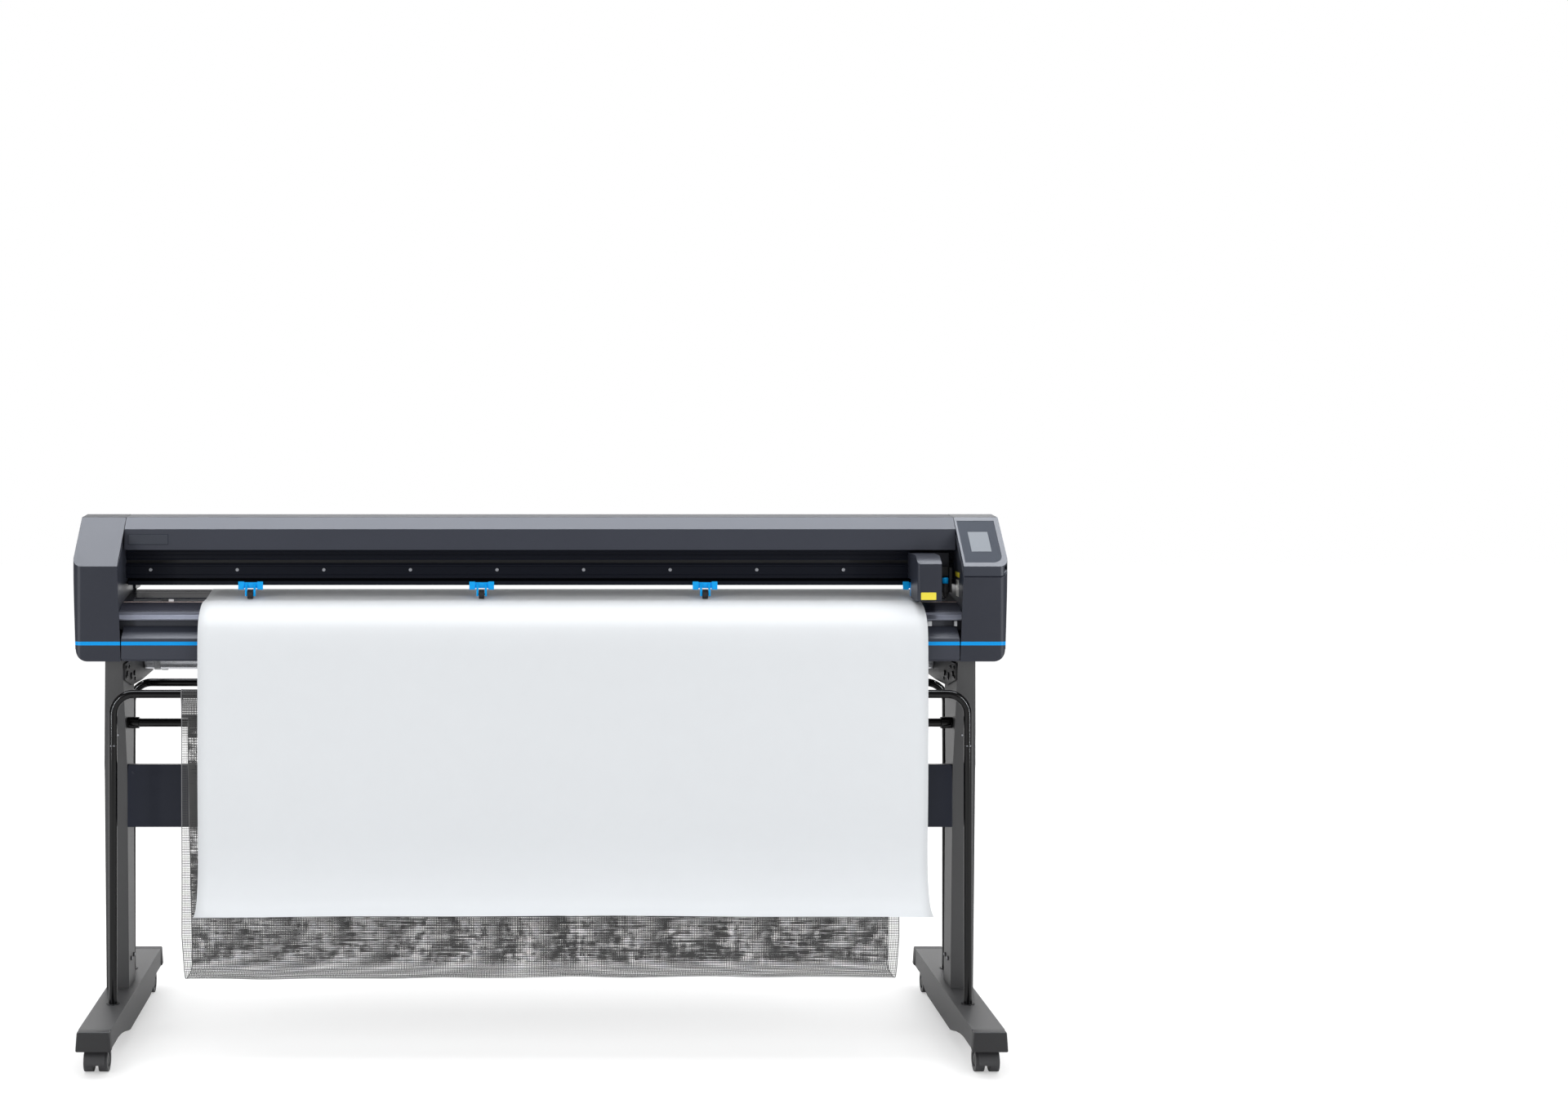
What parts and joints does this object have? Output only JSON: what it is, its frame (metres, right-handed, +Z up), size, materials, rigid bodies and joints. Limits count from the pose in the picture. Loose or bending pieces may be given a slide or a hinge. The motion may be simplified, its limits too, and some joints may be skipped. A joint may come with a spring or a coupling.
{
  "type": "vinyl roll cutter",
  "caption": "Wide roll-fed vinyl cutter on a wheeled stand: sliding cutting head, pinch rollers, control panel, supply roll and mesh catch basket.",
  "frame": {"origin": "on the floor, midway between the feet in X and midway along the feet in Y", "axes": "+X to the operator's right, along the beam; +Y to the back, away from the operator; +Z up"},
  "size_m": [2.03, 0.696, 1.142],
  "materials": {
    "body_grey": "fine-textured moulding",
    "hood_grey": "satin powder coat",
    "panel_grey": "fine-textured moulding",
    "panel_dark": "satin overlay",
    "screen": "satin screen film",
    "accent_blue": "glossy strip",
    "platen_grey": "satin anodised",
    "edge_metal": "brushed",
    "strip_pad": "soft strip",
    "beam_black": "black anodised",
    "screw_steel": "plated",
    "sheet_steel": "galvanised",
    "frame_paint": "fine-textured powder coat",
    "bracket_paint": "satin paint",
    "panel_navy": "satin powder coat",
    "moulded_black": "moulded",
    "tube_black": "gloss paint",
    "mesh_fabric": "open woven mesh",
    "vinyl_white": "smooth sign vinyl on liner",
    "card_core": "spiral-wound card",
    "roller_steel": "drawn tube",
    "drum_steel": "fine grit",
    "pinch_blue": "glossy moulding",
    "pinch_rubber": "rubber",
    "belt_rubber": "toothed belt",
    "caster_black": "moulded",
    "switch_red": "moulded"
  },
  "bodies": {
    "cutter": {"left_end_cap": "body_grey", "right_end_cap": "body_grey", "panel_housing": "panel_grey", "control_panel": "panel_dark", "touch_screen": "screen", "accent_trim": "accent_blue", "hood": "hood_grey", "rear_cover": "hood_grey", "front_cover": "hood_grey", "platen": "platen_grey", "platen_edge": "edge_metal", "cutting_strip": "strip_pad", "carriage_beam": "beam_black", "beam_screws": "screw_steel", "base_chassis": "sheet_steel", "side_plates": "hood_grey", "drive_motors": "moulded_black", "carriage_belt": "belt_rubber", "power_inlet": "moulded_black", "vinyl_sheet": "vinyl_white", "left_leg": "frame_paint", "right_leg": "frame_paint", "left_foot": "frame_paint", "right_foot": "frame_paint", "foot_end_caps": "moulded_black", "cross_beam": "panel_navy", "front_basket_bow": "tube_black", "rear_basket_bow": "tube_black", "basket_rod": "tube_black", "mesh_basket": "mesh_fabric", "roll_brackets": "bracket_paint"},
    "caster_fork_front_left": {"caster_fork_front_left": "caster_black"},
    "caster_wheels_front_left": {"caster_wheels_front_left": "caster_black"},
    "caster_fork_front_right": {"caster_fork_front_right": "caster_black"},
    "caster_wheels_front_right": {"caster_wheels_front_right": "caster_black"},
    "caster_fork_rear_left": {"caster_fork_rear_left": "caster_black"},
    "caster_wheels_rear_left": {"caster_wheels_rear_left": "caster_black"},
    "caster_fork_rear_right": {"caster_fork_rear_right": "caster_black"},
    "caster_wheels_rear_right": {"caster_wheels_rear_right": "caster_black"},
    "pinch_lift": {"pinch_lift_bar": "beam_black"},
    "pinch_bracket_1": {"pinch_bracket_1": "pinch_blue"},
    "pinch_wheel_1": {"pinch_wheel_1": "pinch_rubber"},
    "pinch_bracket_2": {"pinch_bracket_2": "pinch_blue"},
    "pinch_wheel_2": {"pinch_wheel_2": "pinch_rubber"},
    "pinch_bracket_3": {"pinch_bracket_3": "pinch_blue"},
    "pinch_wheel_3": {"pinch_wheel_3": "pinch_rubber"},
    "pinch_bracket_4": {"pinch_bracket_4": "pinch_blue"},
    "pinch_wheel_4": {"pinch_wheel_4": "pinch_rubber"},
    "drive_drum": {"drive_drum": "drum_steel"},
    "carriage": {"carriage_plate": "sheet_steel", "carriage_cover": "body_grey"},
    "tool_holder": {"tool_holder": "moulded_black"},
    "blade_holder": {"blade_holder": "moulded_black"},
    "drive_pulley": {"drive_pulley": "roller_steel"},
    "idler_pulley": {"idler_pulley": "roller_steel"},
    "media_roll": {"media_roll": "vinyl_white", "media_core": "card_core"},
    "front_support_roller": {"front_support_roller": "roller_steel"},
    "rear_support_roller": {"rear_support_roller": "roller_steel"},
    "power_switch": {"power_switch": "switch_red"}
  },
  "joints": [
    {"name": "caster_front_left_swivel", "type": "hinge", "parent": "cutter", "child": "caster_fork_front_left", "pos_m": [-0.928, -0.306, 0.05], "axis": [0, 0, 1], "continuous": true},
    {"name": "caster_front_left_roll", "type": "hinge", "parent": "caster_fork_front_left", "child": "caster_wheels_front_left", "pos_m": [-0.928, -0.297, 0.0245], "axis": [1, 0, 0], "continuous": true},
    {"name": "caster_front_right_swivel", "type": "hinge", "parent": "cutter", "child": "caster_fork_front_right", "pos_m": [0.928, -0.306, 0.05], "axis": [0, 0, 1], "continuous": true},
    {"name": "caster_front_right_roll", "type": "hinge", "parent": "caster_fork_front_right", "child": "caster_wheels_front_right", "pos_m": [0.928, -0.297, 0.0245], "axis": [1, 0, 0], "continuous": true},
    {"name": "caster_rear_left_swivel", "type": "hinge", "parent": "cutter", "child": "caster_fork_rear_left", "pos_m": [-0.928, 0.306, 0.05], "axis": [0, 0, 1], "continuous": true},
    {"name": "caster_rear_left_roll", "type": "hinge", "parent": "caster_fork_rear_left", "child": "caster_wheels_rear_left", "pos_m": [-0.928, 0.297, 0.0245], "axis": [1, 0, 0], "continuous": true},
    {"name": "caster_rear_right_swivel", "type": "hinge", "parent": "cutter", "child": "caster_fork_rear_right", "pos_m": [0.928, 0.306, 0.05], "axis": [0, 0, 1], "continuous": true},
    {"name": "caster_rear_right_roll", "type": "hinge", "parent": "caster_fork_rear_right", "child": "caster_wheels_rear_right", "pos_m": [0.928, 0.297, 0.0245], "axis": [1, 0, 0], "continuous": true},
    {"name": "pinch_lift", "type": "hinge", "parent": "cutter", "child": "pinch_lift", "pos_m": [0, 0.02, 0.992], "axis": [1, 0, 0], "range_deg": [-8, 0]},
    {"name": "pinch_1_position", "type": "slide", "parent": "pinch_lift", "child": "pinch_bracket_1", "axis": [1, 0, 0], "range_m": [-0.2, 0.2]},
    {"name": "pinch_1_spin", "type": "hinge", "parent": "pinch_bracket_1", "child": "pinch_wheel_1", "pos_m": [-0.642, -0.012, 0.9682], "axis": [1, 0, 0], "continuous": true},
    {"name": "pinch_2_position", "type": "slide", "parent": "pinch_lift", "child": "pinch_bracket_2", "axis": [1, 0, 0], "range_m": [-0.2, 0.2]},
    {"name": "pinch_2_spin", "type": "hinge", "parent": "pinch_bracket_2", "child": "pinch_wheel_2", "pos_m": [-0.129, -0.012, 0.9682], "axis": [1, 0, 0], "continuous": true},
    {"name": "pinch_3_position", "type": "slide", "parent": "pinch_lift", "child": "pinch_bracket_3", "axis": [1, 0, 0], "range_m": [-0.2, 0.2]},
    {"name": "pinch_3_spin", "type": "hinge", "parent": "pinch_bracket_3", "child": "pinch_wheel_3", "pos_m": [0.367, -0.012, 0.9682], "axis": [1, 0, 0], "continuous": true},
    {"name": "pinch_4_position", "type": "slide", "parent": "pinch_lift", "child": "pinch_bracket_4", "axis": [1, 0, 0], "range_m": [-0.2, 0.035]},
    {"name": "pinch_4_spin", "type": "hinge", "parent": "pinch_bracket_4", "child": "pinch_wheel_4", "pos_m": [0.834, -0.012, 0.9682], "axis": [1, 0, 0], "continuous": true},
    {"name": "drum_spin", "type": "hinge", "parent": "cutter", "child": "drive_drum", "pos_m": [0, -0.012, 0.9422], "axis": [1, 0, 0], "continuous": true},
    {"name": "carriage_slide", "type": "slide", "parent": "cutter", "child": "carriage", "axis": [1, 0, 0], "range_m": [-1.7, 0]},
    {"name": "tool_lift", "type": "slide", "parent": "carriage", "child": "tool_holder", "axis": [0, 0, 1], "range_m": [-0.0045, 0], "stiffness_N_per_m": 300, "springref_m": 0.002},
    {"name": "blade_swivel", "type": "hinge", "parent": "tool_holder", "child": "blade_holder", "pos_m": [0.895, -0.036, 0.984], "axis": [0, 0, 1], "continuous": true},
    {"name": "drive_pulley_spin", "type": "hinge", "parent": "cutter", "child": "drive_pulley", "pos_m": [0.954, 0.026, 1.0395], "axis": [0, 0, 1], "continuous": true},
    {"name": "idler_pulley_spin", "type": "hinge", "parent": "cutter", "child": "idler_pulley", "pos_m": [-0.954, 0.026, 1.0395], "axis": [0, 0, 1], "continuous": true},
    {"name": "media_roll_spin", "type": "hinge", "parent": "cutter", "child": "media_roll", "pos_m": [0.048, 0.22506, 0.84542], "axis": [1, 0, 0], "continuous": true},
    {"name": "front_support_spin", "type": "hinge", "parent": "cutter", "child": "front_support_roller", "pos_m": [0, 0.165, 0.8], "axis": [1, 0, 0], "continuous": true},
    {"name": "rear_support_spin", "type": "hinge", "parent": "cutter", "child": "rear_support_roller", "pos_m": [0, 0.27, 0.785], "axis": [1, 0, 0], "continuous": true},
    {"name": "power_switch_rock", "type": "hinge", "parent": "cutter", "child": "power_switch", "pos_m": [0.962, 0.103, 0.916], "axis": [0, 0, 1], "range_deg": [-8, 8]}
  ],
  "couplings": [
    {"joint": "pinch_1_spin", "follows": "drum_spin", "ratio": -1.5},
    {"joint": "pinch_2_spin", "follows": "drum_spin", "ratio": -1.5},
    {"joint": "pinch_3_spin", "follows": "drum_spin", "ratio": -1.5},
    {"joint": "pinch_4_spin", "follows": "drum_spin", "ratio": -1.5},
    {"joint": "drive_pulley_spin", "follows": "carriage_slide", "rad_per_m": 76.628},
    {"joint": "idler_pulley_spin", "follows": "carriage_slide", "rad_per_m": 76.628},
    {"joint": "media_roll_spin", "follows": "drum_spin", "ratio": 0.27273},
    {"joint": "front_support_spin", "follows": "drum_spin", "ratio": -0.75},
    {"joint": "rear_support_spin", "follows": "drum_spin", "ratio": -0.75}
  ]
}
